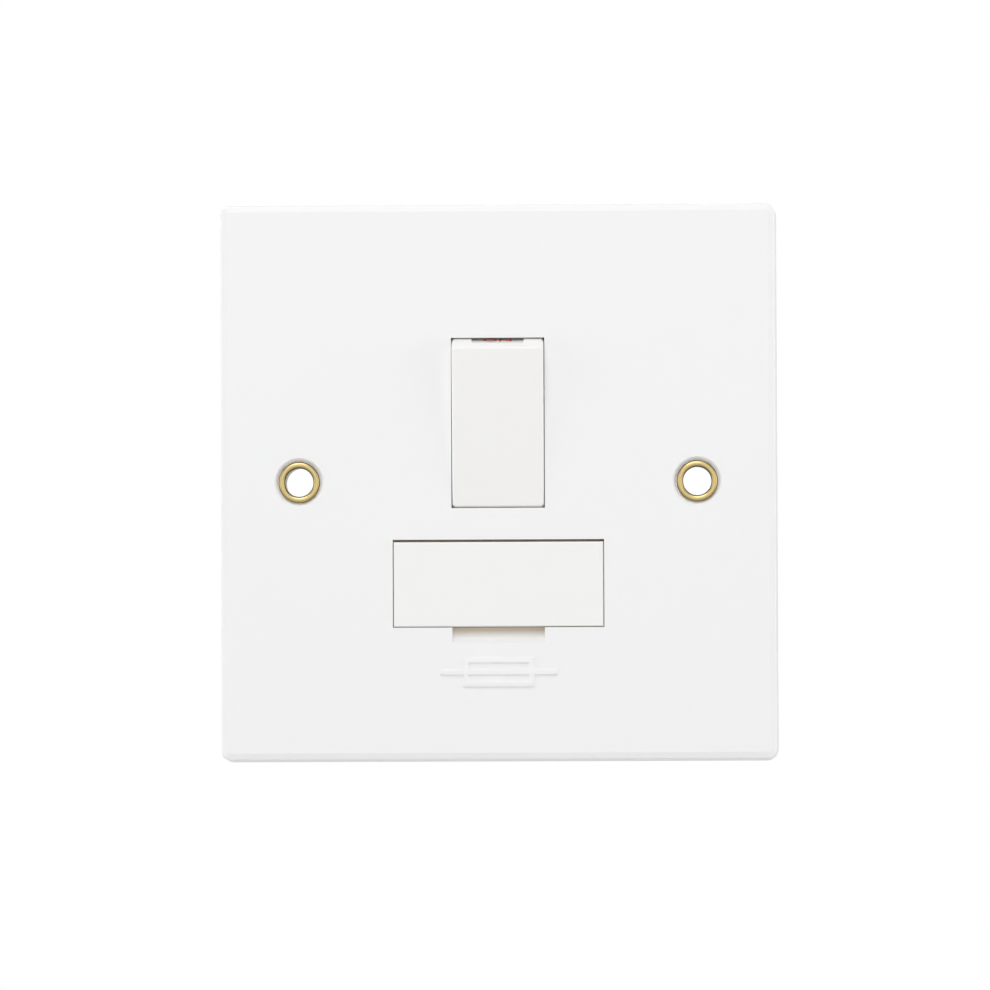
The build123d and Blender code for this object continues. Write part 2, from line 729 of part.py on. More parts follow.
# Rear base: a moulded box with a switch chamber, a fuse chamber and five terminal pockets
with BuildPart() as rear_base:
    with BuildSketch(section_at(base_rear_y)):
        with Locations((0, (base_top + base_bottom) / 2)):
            RectangleRounded(2 * base_x, base_top - base_bottom, base_corner_radius)
    extrude(amount=base_rear_y - inner_y)
    chamfer(rear_base.faces().sort_by(Axis.Y)[-1].edges(), base_rear_chamfer)
    with BuildSketch(section_at(0)):
        span(-chamber_x, chamber_x, switch_chamber_bottom, chamber_top)
    extrude(amount=-inner_y, mode=Mode.SUBTRACT)
    with BuildSketch(section_at(floor_y)):
        span(-chamber_x, chamber_x, switch_chamber_bottom, terminal_bottom)
        span(-fuse_chamber_x, fuse_chamber_x, fuse_chamber_bottom, fuse_chamber_top)
        side_pocket_x = fuse_chamber_x + inner_wall
        for side in (-1, 1):
            span(side * side_pocket_x, side * chamber_x, fuse_chamber_bottom, fuse_chamber_top)
    extrude(amount=floor_y - inner_y, mode=Mode.SUBTRACT)
    with BuildSketch(section_at(terminal_seat)):
        with Locations(*[(x, (terminal_bottom + chamber_top) / 2) for x, _ in terminal_places]):
            Rectangle(pocket_width, chamber_top - terminal_bottom)
    extrude(amount=terminal_seat, mode=Mode.SUBTRACT)
    # Barrier between the poles and a wall under the earth terminal
    with BuildSketch(section_at(floor_y)):
        span(-barrier_thickness / 2, barrier_thickness / 2, cross_run_top + running_gap, terminal_bottom)
    extrude(amount=floor_y - barrier_top)
    with BuildSketch(section_at(floor_y)):
        earth_wall_x = terminal_pitch - pocket_width / 2
        span(-earth_wall_x, earth_wall_x, riser_z, terminal_bottom)
    extrude(amount=floor_y - terminal_front)
    # Columns for the housing screws, relieved for the plate's bosses
    with BuildSketch(section_at(floor_y)):
        with Locations(*housing_screw_places):
            Circle(screw_column_diameter / 2)
    extrude(amount=floor_y - column_y)
    with BuildSketch(section_at(column_y)):
        with Locations(*housing_screw_places):
            Circle(screw_boss_diameter / 2 + end_gap)
    extrude(amount=column_y - inner_y, mode=Mode.SUBTRACT)
    with BuildSketch(section_at(base_rear_y)):
        with Locations(*housing_screw_places):
            Circle(housing_screw_diameter / 2 + running_gap)
    extrude(amount=base_rear_y - column_y, mode=Mode.SUBTRACT)
    with BuildSketch(section_at(base_rear_y)):
        with Locations(*housing_screw_places):
            Circle(housing_head_diameter / 2 + end_gap)
    extrude(amount=base_rear_y - screw_seat_y, mode=Mode.SUBTRACT)
    # Access to the terminal screws and open slots for the wires
    with BuildSketch(section_at(base_rear_y)):
        with Locations(*terminal_places):
            Circle(terminal_screw_diameter / 2 + screw_access_gap)
    extrude(amount=base_rear_y - terminal_seat, mode=Mode.SUBTRACT)
    with BuildSketch(Plane.XY.offset(chamber_top)):
        slot_front_y = wire_depth - wire_slot_width / 2
        for x, _ in terminal_places:
            span(x - wire_slot_width / 2, x + wire_slot_width / 2, slot_front_y, base_rear_y)
    extrude(amount=base_wall, mode=Mode.SUBTRACT)
    # Slots for the strips through the wall between the chambers, and notches for the earth strap
    with BuildSketch(section_at(floor_y)):
        slot_half = strip_width / 2 + seat_gap
        for x in (-clip_x, clip_x):
            span(x - slot_half, x + slot_half, fuse_chamber_top, switch_chamber_bottom)
    extrude(amount=strip_thickness + seat_gap, mode=Mode.SUBTRACT)
    with BuildSketch(section_at(strap_rear_y + seat_gap)):
        strap_half = strap_width / 2 + running_gap
        span(-base_x, base_x, terminal_z - strap_half, terminal_z + strap_half)
    extrude(amount=strap_rear_y + seat_gap - inner_y, mode=Mode.SUBTRACT)
rear_base.part.label = "rear_base"
export_step(rear_base.part, "parts/rear_base.step")

# Terminal blocks: drilled along Z for the wire and along Y for the clamping screw
for name, x, front_y in terminal_blocks:
    with BuildPart() as terminal:
        with BuildSketch(section_at(terminal_seat)):
            with Locations((x, terminal_z)):
                Rectangle(terminal_width, terminal_height)
        extrude(amount=terminal_seat - front_y)
        chamfer(terminal.edges().filter_by(Axis.Z), terminal_chamfer)
        with BuildSketch(Plane.XY.offset(terminal_bottom)):
            with Locations((x, wire_depth)):
                Circle(wire_bore / 2)
        extrude(amount=terminal_height, mode=Mode.SUBTRACT)
        with BuildSketch(section_at(terminal_seat)):
            with Locations((x, terminal_z)):
                Circle(terminal_screw_diameter / 2 + seat_gap)
        extrude(amount=terminal_seat - wire_depth, mode=Mode.SUBTRACT)
    terminal.part.label = f"{name}_terminal"
    export_step(terminal.part, f"parts/{name}_terminal.step")

# Terminal screws, headless and backed out clear of the wire bores
with BuildPart() as terminal_screws:
    with BuildSketch(section_at(screw_tip_y + terminal_screw_length)):
        with Locations(*terminal_places):
            Circle(terminal_screw_diameter / 2)
    extrude(amount=terminal_screw_length)
terminal_screws.part.label = "terminal_screws"
export_step(terminal_screws.part, "parts/terminal_screws.step")

# Housing screws, from the rear of the base into the plate's bosses
with BuildPart() as housing_screws:
    with BuildSketch(section_at(screw_seat_y)):
        with Locations(*housing_screw_places):
            Circle(housing_screw_diameter / 2)
    extrude(amount=screw_seat_y - housing_screw_tip_y)
    with BuildSketch(section_at(screw_seat_y + housing_head_height)):
        with Locations(*housing_screw_places):
            Circle(housing_head_diameter / 2)
    extrude(amount=housing_head_height)
housing_screws.part.label = "housing_screws"
export_step(housing_screws.part, "parts/housing_screws.step")
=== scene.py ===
"""Switched fused connection unit: finishes, small pieces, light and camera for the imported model.

Metres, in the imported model's own frame: X to the right, Y into the wall, Z up, with the origin
midway between the two fixing holes.
"""

import json
import math

import bmesh
import bpy
from mathutils import Matrix, Vector


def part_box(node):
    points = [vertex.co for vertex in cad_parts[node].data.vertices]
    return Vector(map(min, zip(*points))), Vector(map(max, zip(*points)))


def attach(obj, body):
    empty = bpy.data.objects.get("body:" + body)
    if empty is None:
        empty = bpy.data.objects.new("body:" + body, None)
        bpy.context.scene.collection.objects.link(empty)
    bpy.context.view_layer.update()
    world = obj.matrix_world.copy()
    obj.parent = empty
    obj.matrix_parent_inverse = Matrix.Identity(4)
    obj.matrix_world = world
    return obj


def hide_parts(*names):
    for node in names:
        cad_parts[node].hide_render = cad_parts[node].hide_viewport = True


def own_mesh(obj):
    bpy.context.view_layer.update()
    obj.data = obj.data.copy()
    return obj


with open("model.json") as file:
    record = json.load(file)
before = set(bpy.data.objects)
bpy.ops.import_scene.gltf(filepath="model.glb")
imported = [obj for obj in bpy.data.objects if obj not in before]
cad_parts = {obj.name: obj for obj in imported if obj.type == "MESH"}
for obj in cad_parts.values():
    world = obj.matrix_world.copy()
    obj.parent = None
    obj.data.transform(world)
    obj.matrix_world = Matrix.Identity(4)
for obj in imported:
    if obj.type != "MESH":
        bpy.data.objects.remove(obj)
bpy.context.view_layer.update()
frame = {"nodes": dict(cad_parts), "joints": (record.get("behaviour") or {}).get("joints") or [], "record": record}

MM = 0.001
QUARTER_TURN = math.radians(90.0)
SHARP_ANGLE = math.radians(35.0)
FLATNESS = 0.001 * MM

# The photograph's frame, and where the two fixing holes are in it
PHOTO_PIXELS = 990
PIXELS_PER_METRE = 6605.0
HOLES_MIDDLE_PIXEL = (498.1, 481.7)
CAMERA_DISTANCE = 0.9
CAMERA_AZIMUTH = math.radians(1.25)
CAMERA_ELEVATION = math.radians(-1.5)
CAMERA_ROLL = math.radians(-0.22)
CAMERA_NEAREST = 0.01
CAMERA_FARTHEST = 20.0
SENSOR_WIDTH = 36.0

# Light: the world's strength, then each lamp's place, the side of its square and its watts
AMBIENT = 0.25
LAMPS = {
    "key_lamp": ((-0.2, -0.9, 1.2), 1.0, 12.75),
    "left_lamp": ((-1.3, -0.25, 0.1), 1.0, 6.45),
    "right_lamp": ((1.3, -0.25, 0.1), 1.0, 7.85),
    "front_lamp": ((0.0, -2.0, 0.0), 1.4, 6.25),
    "rear_lamp": ((0.3, 1.3, 0.9), 1.0, 7.0),
}

# Floor, which turns to white between the two fade distances
FLOOR_LEVEL = -110.0 * MM
FLOOR_HALF_SIDE = 0.5
FLOOR_CELLS = 8
FLOOR_DARKER = (0.86, 0.86, 0.86)
FLOOR_LIGHTER = (0.89, 0.89, 0.89)
FLOOR_ROUGHNESS = 0.9
FLOOR_FADE_START = 0.10
FLOOR_FADE_END = 0.36

# Noise textures: scale to the metre, detail and roughness
NOISE_MIDDLE = 0.5
TONE_NOISE = (45.0, 2.0, 0.5)
SKIN_NOISE = (420.0, 3.0, 0.6)
FINE_NOISE = (2600.0, 3.0, 0.65)
TARNISH_NOISE = (260.0, 4.0, 0.6)
LINE_NOISE = (1.0, 3.0, 0.6)
FLOOR_NOISE = (12.0, 3.0, 0.5)

# Skin of mouldings and metals
SKIN_SHARE = 0.6
MOULDING_RELIEF = 0.02 * MM
METAL_RELIEF = 0.01 * MM
METAL_BUMP = 0.12
METAL_UNEVENNESS = 0.18
PLATED_STEEL = {
    "colour": (0.50, 0.505, 0.51),
    "tarnish_colour": (0.30, 0.29, 0.26),
    "tarnish": 0.5,
    "gloss": 0.34,
    "grain": (350.0, 7000.0, 7000.0),
}

# Brass liners of the fixing holes
FIXING_X = 30.15 * MM
BORE_RADIUS = 2.15 * MM
THROAT_RADIUS = 2.38 * MM
THROAT_DEPTH = 2.2 * MM
THROAT_TAPER = 0.4 * MM
TUBE_RADIUS = 2.5 * MM
TAIL_THICKNESS = 0.5 * MM
BEAD_CREST_RADIUS = 2.65 * MM
BEAD_OUTER_RADIUS = 3.15 * MM
BEAD_DEPTH = 0.55 * MM
BEAD_SHOULDER = 0.12 * MM
BEAD_STEPS = 12
LINER_STEPS = 96
LINER_MERGE = 0.001 * MM

# Brass of the liners: turning rings to the metre, and the shade on the bead's flanks and inside
TURNING_RINGS = 9000.0
FLANK_START = 0.26 * MM
FLANK_FADE = 0.18 * MM
THROAT_FRONT = -9.15 * MM
THROAT_REAR = -0.6 * MM
THROAT_FADE = 0.2 * MM
LINER_SHADE = 0.9
LINER_SHADE_COLOUR = (0.13, 0.085, 0.025)

# Raised fuse sign under the carrier, measured from its own middle
SIGN_MIDDLE_Z = -28.8 * MM
SIGN_BOX_INNER_X = 4.55 * MM
SIGN_BOX_OUTER_X = 5.4 * MM
SIGN_LINE_END = 8.9 * MM
SIGN_LINE_HALF = 0.42 * MM
SIGN_BOX_INNER_Z = 1.4 * MM
SIGN_BOX_OUTER_Z = 2.25 * MM
SIGN_RELIEF = 0.22 * MM
SIGN_SINK = 0.05 * MM
SIGN_EDGE = 0.08 * MM
SIGN_EDGE_STEPS = 2

# Printed word on the sloped panel in the rocker's upper end, placed along the rocker's own axes
PANEL_FOOT = Vector((-5.370, 12.651)) * MM
PANEL_HEAD = Vector((-1.857, 13.214)) * MM
MARK_SETBACK = 1.05 * MM
MARK_SIZE = 2.9 * MM
MARK_THICKNESS = 0.03 * MM
MARK_MERGE = 0.0005 * MM
ROCKER_TILT = math.radians(6.0)

# Screws at the rear
SCREW_SIDES = 40
SCREW_TURN = math.radians(37.0)
SCREW_RIM = 0.25 * MM
SCREW_RIM_STEPS = 3
SCREW_RECESS_WIDTH = 0.8 * MM
SCREW_RECESS_DEPTH = 0.8 * MM
TERMINAL_SCREW_RADIUS = 2.0 * MM
TERMINAL_COUNT = 5
HOUSING_HEAD_RADIUS = 2.3 * MM
HOUSING_HEAD_HEIGHT = 1.5 * MM
HOUSING_SHANK_RADIUS = 1.25 * MM
SLOT_SHADE_START = 0.3 * MM
SLOT_SHADE_FADE = 0.3 * MM
SLOT_SHADE_COLOUR = (0.13, 0.125, 0.12)

# Plunger springs, measured along the plungers from the rocker's pivot
SPRING_FOOT = -3.95 * MM
SPRING_HEAD = 2.95 * MM
SPRING_WIRE_RADIUS = 0.22 * MM
SPRING_COIL_RADIUS = 1.18 * MM
SPRING_OPEN_TURNS = 4
SPRING_TURN_STEPS = 28
SPRING_WIRE_SIDES = 10

# Painted shade: a warmer, darker colour on the walls of the windows, behind the face of the plate
SEAM_FRONT = -9.38 * MM
SEAM_FADE = 0.25 * MM
SEAM_HALF_WIDTH = 17.0 * MM
SEAM_HALF_HEIGHT = 23.5 * MM
SEAM_END_FADE = 1.0 * MM
SEAM_SHADE_COLOUR = (0.63, 0.55, 0.45)

# Painted light: the recess round each brass liner is paler than the face, to lift its shade
RECESS_FRONT = -9.47 * MM
RECESS_FADE = 0.06 * MM
RECESS_REAR = -8.8 * MM
RECESS_RADIUS = 4.2 * MM
RECESS_LIGHT_COLOUR = (0.97, 0.965, 0.955)

# Side walls of the plate, which are left matt from the mould
WALL_FRONT = -9.2 * MM
WALL_FADE = 0.3 * MM
WALL_ROUGHNESS = 0.8


# Nodes

VECTOR, COLOUR, VALUE = "NodeSocketVector", "NodeSocketColor", "NodeSocketFloat"
SKIN_SOCKETS = {"Colour": COLOUR, "Roughness": VALUE, "Height": VALUE}


def new_group(name, inputs, outputs):
    """An empty shader group with the named sockets, and its input and output nodes."""
    group = bpy.data.node_groups.new(name, "ShaderNodeTree")
    for side, sockets in (("INPUT", inputs), ("OUTPUT", outputs)):
        for label, kind in sockets.items():
            group.interface.new_socket(label, in_out=side, socket_type=kind)
    return group, group.nodes.new("NodeGroupInput"), group.nodes.new("NodeGroupOutput")


def place_group(tree, group, links, values):
    """A group's node, with some of its inputs linked and others set."""
    node = tree.nodes.new("ShaderNodeGroup")
    node.node_tree = group
    for label, socket in links.items():
        tree.links.new(socket, node.inputs[label])
    for label, value in values.items():
        node.inputs[label].default_value = (*value, 1.0) if isinstance(value, tuple) else value
    return node


def noise(tree, vector, scale, detail, roughness):
    node = tree.nodes.new("ShaderNodeTexNoise")
    node.inputs["Scale"].default_value = scale
    node.inputs["Detail"].default_value = detail
    node.inputs["Roughness"].default_value = roughness
    tree.links.new(vector, node.inputs["Vector"])
    return node.outputs["Fac"]


def maths(tree, operation, first, second=None, third=None, clamp=False):
    node = tree.nodes.new("ShaderNodeMath")
    node.operation = operation
    node.use_clamp = clamp
    for socket, value in zip(node.inputs, (first, second, third)):
        if value is None:
            continue
        if isinstance(value, (int, float)):
            socket.default_value = value
        else:
            tree.links.new(value, socket)
    return node.outputs["Value"]


def ramp(tree, value, start, width):
    """Rises from nought at the start to one a width further on. A negative width runs backwards."""
    past = maths(tree, "SUBTRACT", value, start)
    return maths(tree, "MULTIPLY", past, 1.0 / width, clamp=True)


def split(tree, vector):
    node = tree.nodes.new("ShaderNodeSeparateXYZ")
    tree.links.new(vector, node.inputs["Vector"])
    return node.outputs["X"], node.outputs["Y"], node.outputs["Z"]


def hole_radius(tree, x, z):
    """The distance from the axis of the nearer fixing hole."""
    aside = maths(tree, "SUBTRACT", maths(tree, "ABSOLUTE", x), FIXING_X)
    square = maths(tree, "MULTIPLY", aside, aside)
    return maths(tree, "SQRT", maths(tree, "MULTIPLY_ADD", z, z, square))


def mix_colour(tree, factor, first, second):
    node = tree.nodes.new("ShaderNodeMix")
    node.data_type = "RGBA"
    sockets = (node.inputs[0], node.inputs[6], node.inputs[7])
    for socket, value in zip(sockets, (factor, first, second)):
        if isinstance(value, tuple):
            socket.default_value = (*value, 1.0)
        else:
            tree.links.new(value, socket)
    return node.outputs[2]


def mix_shaders(tree, factor, first, second):
    node = tree.nodes.new("ShaderNodeMixShader")
    for socket, value in zip(node.inputs, (factor, first, second)):
        tree.links.new(value, socket)
    return node.outputs["Shader"]


def seen_by(tree, *kinds):
    """One for rays of the given kinds and nought for all others."""
    rays = tree.nodes.new("ShaderNodeLightPath")
    seen = rays.outputs[kinds[0]]
    for kind in kinds[1:]:
        seen = maths(tree, "ADD", seen, rays.outputs[kind], clamp=True)
    return seen


# Shared effects

def uneven_gloss(group, given, first, second):
    """The given gloss, varied by two noises."""
    spread = maths(group, "SUBTRACT", maths(group, "ADD", first, second), 2 * NOISE_MIDDLE)
    uneven, gloss = given.outputs["Unevenness"], given.outputs["Gloss"]
    return maths(group, "MULTIPLY_ADD", spread, uneven, gloss, clamp=True)


def make_moulded_skin():
    """Moulded resin: slow changes of tone, uneven gloss and a fine skin."""
    inputs = {
        "Vector": VECTOR, "Colour": COLOUR, "Tone": VALUE, "Gloss": VALUE, "Unevenness": VALUE,
    }
    group, given, result = new_group("moulded_skin", inputs, SKIN_SOCKETS)
    place = given.outputs["Vector"]
    slow = noise(group, place, *TONE_NOISE)
    middle = noise(group, place, *SKIN_NOISE)
    fine = noise(group, place, *FINE_NOISE)
    change = maths(group, "SUBTRACT", slow, NOISE_MIDDLE)
    tone = maths(group, "MULTIPLY_ADD", change, given.outputs["Tone"], 1.0)
    scaled = group.nodes.new("ShaderNodeVectorMath")
    scaled.operation = "SCALE"
    group.links.new(given.outputs["Colour"], scaled.inputs[0])
    group.links.new(tone, scaled.inputs["Scale"])
    group.links.new(scaled.outputs["Vector"], result.inputs["Colour"])
    group.links.new(uneven_gloss(group, given, middle, slow), result.inputs["Roughness"])
    skin = maths(group, "MULTIPLY_ADD", middle, SKIN_SHARE, fine)
    group.links.new(skin, result.inputs["Height"])
    return group


def make_metal_marks():
    """Worked metal: fine drawing or turning marks, with tarnish in patches."""
    inputs = {
        "Vector": VECTOR, "Lines": VECTOR, "Colour": COLOUR, "Tarnish Colour": COLOUR,
        "Tarnish": VALUE, "Gloss": VALUE, "Unevenness": VALUE,
    }
    group, given, result = new_group("metal_marks", inputs, SKIN_SOCKETS)
    patches = noise(group, given.outputs["Vector"], *TARNISH_NOISE)
    lines = noise(group, given.outputs["Lines"], *LINE_NOISE)
    square = maths(group, "MULTIPLY", patches, patches)
    amount = maths(group, "MULTIPLY", square, given.outputs["Tarnish"], clamp=True)
    colour = mix_colour(group, amount, given.outputs["Colour"], given.outputs["Tarnish Colour"])
    group.links.new(colour, result.inputs["Colour"])
    group.links.new(uneven_gloss(group, given, patches, lines), result.inputs["Roughness"])
    group.links.new(lines, result.inputs["Height"])
    return group


def make_painted_seam_shade():
    """Painted shade: a warmer, darker colour on the window walls, where they run back from the plate's face."""
    inputs = {"Vector": VECTOR, "Colour": COLOUR, "Seam Shade Colour": COLOUR}
    group, given, result = new_group("painted_seam_shade", inputs, {"Colour": COLOUR})
    x, y, z = split(group, given.outputs["Vector"])
    deep = ramp(group, y, SEAM_FRONT, SEAM_FADE)
    across = maths(group, "LESS_THAN", maths(group, "ABSOLUTE", x), SEAM_HALF_WIDTH)
    along = ramp(group, maths(group, "ABSOLUTE", z), SEAM_HALF_HEIGHT, -SEAM_END_FADE)
    amount = maths(group, "MULTIPLY", deep, maths(group, "MULTIPLY", across, along))
    colour = mix_colour(group, amount, given.outputs["Colour"], given.outputs["Seam Shade Colour"])
    group.links.new(colour, result.inputs["Colour"])
    return group


def make_painted_recess_light():
    """Painted light: a paler colour in the shallow recess round each brass liner, lifting its shade."""
    inputs = {"Vector": VECTOR, "Colour": COLOUR, "Recess Light Colour": COLOUR}
    group, given, result = new_group("painted_recess_light", inputs, {"Colour": COLOUR})
    x, y, z = split(group, given.outputs["Vector"])
    deep = ramp(group, y, RECESS_FRONT, RECESS_FADE)
    near = maths(group, "LESS_THAN", hole_radius(group, x, z), RECESS_RADIUS)
    shallow = maths(group, "LESS_THAN", y, RECESS_REAR)
    amount = maths(group, "MULTIPLY", deep, maths(group, "MULTIPLY", near, shallow))
    colour = mix_colour(group, amount, given.outputs["Colour"], given.outputs["Recess Light Colour"])
    group.links.new(colour, result.inputs["Colour"])
    return group


def make_matt_walls():
    """A rougher skin on everything that lies behind the polished face."""
    inputs = {"Vector": VECTOR, "Roughness": VALUE}
    group, given, result = new_group("matt_walls", inputs, {"Roughness": VALUE})
    y = split(group, given.outputs["Vector"])[1]
    matt = ramp(group, y, WALL_FRONT, WALL_FADE)
    missing = maths(group, "SUBTRACT", WALL_ROUGHNESS, given.outputs["Roughness"])
    roughness = maths(group, "MULTIPLY_ADD", missing, matt, given.outputs["Roughness"])
    group.links.new(roughness, result.inputs["Roughness"])
    return group


moulded_skin = make_moulded_skin()
metal_marks = make_metal_marks()
painted_seam_shade = make_painted_seam_shade()
painted_recess_light = make_painted_recess_light()
matt_walls = make_matt_walls()


# Finishes

def new_finish(name, metallic=0.0):
    """A material with its Principled shader and an Object-coordinate socket."""
    finish = bpy.data.materials.new(name)
    finish.use_nodes = True
    tree = finish.node_tree
    shader = tree.nodes["Principled BSDF"]
    shader.inputs["Metallic"].default_value = metallic
    place = tree.nodes.new("ShaderNodeTexCoord").outputs["Object"]
    return finish, tree, shader, place


def dress(tree, shader, colour, roughness, height, strength, relief):
    """Joins a skin to the shader, its height by way of a bump node."""
    bump = tree.nodes.new("ShaderNodeBump")
    bump.inputs["Strength"].default_value = strength
    bump.inputs["Distance"].default_value = relief
    tree.links.new(height, bump.inputs["Height"])
    tree.links.new(colour, shader.inputs["Base Color"])
    tree.links.new(roughness, shader.inputs["Roughness"])
    tree.links.new(bump.outputs["Normal"], shader.inputs["Normal"])


def moulding(name, colour, gloss, tone, unevenness=0.12, bump=0.05, front=False):
    """Moulded resin. The front mouldings also have painted shade on window walls, painted light in recesses, and
    matt walls.
    """
    finish, tree, shader, place = new_finish(name)
    skin = place_group(
        tree, moulded_skin, {"Vector": place},
        {"Colour": colour, "Tone": tone, "Gloss": gloss, "Unevenness": unevenness},
    )
    tint, roughness = skin.outputs["Colour"], skin.outputs["Roughness"]
    if front:
        # Painted shade on the window walls, then painted light in the recesses round the liners
        for group, label, value in (
            (painted_seam_shade, "Seam Shade Colour", SEAM_SHADE_COLOUR),
            (painted_recess_light, "Recess Light Colour", RECESS_LIGHT_COLOUR),
        ):
            with_painted_light = place_group(tree, group, {"Vector": place, "Colour": tint}, {label: value})
            tint = with_painted_light.outputs["Colour"]
        walls = place_group(tree, matt_walls, {"Vector": place, "Roughness": roughness}, {})
        roughness = walls.outputs["Roughness"]
    dress(tree, shader, tint, roughness, skin.outputs["Height"], bump, MOULDING_RELIEF)
    return finish


def metal(name, colour, tarnish_colour, tarnish, gloss, grain, head=None):
    """Metal whose drawing marks run along the axis that has the smallest of the three grain scales.

    A screw gives the place of its head, and painted shade darkens the metal deeper down, in the driver slot.
    """
    finish, tree, shader, place = new_finish(name, metallic=1.0)
    stretch = tree.nodes.new("ShaderNodeMapping")
    stretch.inputs["Scale"].default_value = grain
    tree.links.new(place, stretch.inputs["Vector"])
    marks = place_group(
        tree, metal_marks, {"Vector": place, "Lines": stretch.outputs["Vector"]},
        {"Colour": colour, "Tarnish Colour": tarnish_colour, "Tarnish": tarnish,
         "Gloss": gloss, "Unevenness": METAL_UNEVENNESS},
    )
    tint = marks.outputs["Colour"]
    if head is not None:
        # Painted shade: darker deeper down, in the driver slot
        y = split(tree, place)[1]
        shade = ramp(tree, y, head - SLOT_SHADE_START, -SLOT_SHADE_FADE)
        tint = mix_colour(tree, shade, tint, SLOT_SHADE_COLOUR)
    roughness, height = marks.outputs["Roughness"], marks.outputs["Height"]
    dress(tree, shader, tint, roughness, height, METAL_BUMP, METAL_RELIEF)
    return finish


def screw_steel(node):
    return metal(f"{node}_steel", **PLATED_STEEL, head=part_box(node)[1].y)


def liner_brass():
    """Turned brass: rings about each hole's axis, bright crest, painted shade on flanks and throat."""
    finish, tree, shader, place = new_finish("liner_brass", metallic=1.0)
    x, y, z = split(tree, place)
    radius = hole_radius(tree, x, z)
    ring = tree.nodes.new("ShaderNodeCombineXYZ")
    for label, distance in (("X", radius), ("Y", maths(tree, "ABSOLUTE", y))):
        tree.links.new(maths(tree, "MULTIPLY", distance, TURNING_RINGS), ring.inputs[label])
    marks = place_group(
        tree, metal_marks, {"Vector": place, "Lines": ring.outputs["Vector"]},
        {"Colour": (0.48, 0.385, 0.175), "Tarnish Colour": (0.29, 0.21, 0.08), "Tarnish": 0.45,
         "Gloss": 0.34, "Unevenness": 0.16},
    )
    # Painted shade: darker on the bead's flanks and inside the throat, leaving the crest bright
    from_crest = maths(tree, "ABSOLUTE", maths(tree, "SUBTRACT", radius, BEAD_CREST_RADIUS))
    flank = ramp(tree, from_crest, FLANK_START, FLANK_FADE)
    inside = ramp(tree, y, THROAT_FRONT, THROAT_FADE)
    throat = maths(tree, "MULTIPLY", inside, maths(tree, "LESS_THAN", y, THROAT_REAR))
    shade = maths(tree, "MULTIPLY", maths(tree, "MAXIMUM", flank, throat), LINER_SHADE)
    tint = mix_colour(tree, shade, marks.outputs["Colour"], LINER_SHADE_COLOUR)
    roughness, height = marks.outputs["Roughness"], marks.outputs["Height"]
    dress(tree, shader, tint, roughness, height, METAL_BUMP, METAL_RELIEF)
    return finish


finishes = {
    "plate_moulding": moulding(
        "plate_white", colour=(0.857, 0.857, 0.858), gloss=0.36, tone=0.02, front=True,
    ),
    "rocker_moulding": moulding(
        "rocker_white", colour=(0.859, 0.853, 0.836), gloss=0.34, tone=0.02,
    ),
    "carrier_moulding": moulding(
        "carrier_white", colour=(0.858, 0.857, 0.842), gloss=0.36, tone=0.02, front=True,
    ),
    "base_moulding": moulding(
        "base_ivory", colour=(0.66, 0.58, 0.46), gloss=0.42, tone=0.06, unevenness=0.15, bump=0.08,
    ),
    "plunger_moulding": moulding(
        "plunger_nylon", colour=(0.62, 0.60, 0.53), gloss=0.45, tone=0.05,
    ),
    "fuse_ceramic": moulding(
        "fuse_ceramic", colour=(0.74, 0.72, 0.67), gloss=0.62, tone=0.06, bump=0.2,
    ),
    "brass": metal(
        "terminal_brass", colour=(0.80, 0.60, 0.27), tarnish_colour=(0.38, 0.22, 0.07),
        tarnish=0.6, gloss=0.32, grain=(300.0, 6000.0, 6000.0),
    ),
    "copper_alloy": metal(
        "strip_copper", colour=(0.78, 0.44, 0.24), tarnish_colour=(0.34, 0.14, 0.07),
        tarnish=0.6, gloss=0.34, grain=(7000.0, 7000.0, 350.0),
    ),
    "silver": metal(
        "tip_silver", colour=(0.86, 0.85, 0.83), tarnish_colour=(0.35, 0.33, 0.30),
        tarnish=0.5, gloss=0.3, grain=(4000.0, 4000.0, 4000.0),
    ),
    "plated_steel": metal("plated_steel", **PLATED_STEEL),
    "spring_steel": metal(
        "spring_steel", colour=(0.52, 0.53, 0.55), tarnish_colour=(0.20, 0.18, 0.16),
        tarnish=0.5, gloss=0.3, grain=(5000.0, 5000.0, 5000.0),
    ),
    "fuse_cap": metal(
        "fuse_cap_nickel", colour=(0.70, 0.68, 0.63), tarnish_colour=(0.36, 0.33, 0.28),
        tarnish=0.4, gloss=0.26, grain=(350.0, 7000.0, 7000.0),
    ),
}

for subpart in frame["record"]["subparts"]:
    piece = frame["nodes"][subpart["node"]]
    piece.data.materials.clear()
    piece.data.materials.append(finishes[subpart["material_slot"]])


# New pieces

def add_object(name, data):
    item = bpy.data.objects.new(name, data)
    bpy.context.scene.collection.objects.link(item)
    return item


def to_mesh(name, bm):
    """Turns a bmesh into a mesh, and frees it."""
    mesh = bpy.data.meshes.new(name)
    bm.to_mesh(mesh)
    bm.free()
    return mesh


def verts_in(geom):
    return [item for item in geom if isinstance(item, bmesh.types.BMVert)]


def finish_piece(name, bm, finish, body):
    """Turns a bmesh into a piece that rides on a body."""
    for face in bm.faces:
        face.smooth = True
    mesh = to_mesh(name, bm)
    mesh.set_sharp_from_angle(angle=SHARP_ANGLE)
    mesh.materials.append(finish)
    piece = add_object(name, mesh)
    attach(piece, body)
    return piece


def find_joint(name):
    return next(item for item in frame["joints"] if item["name"] == name)


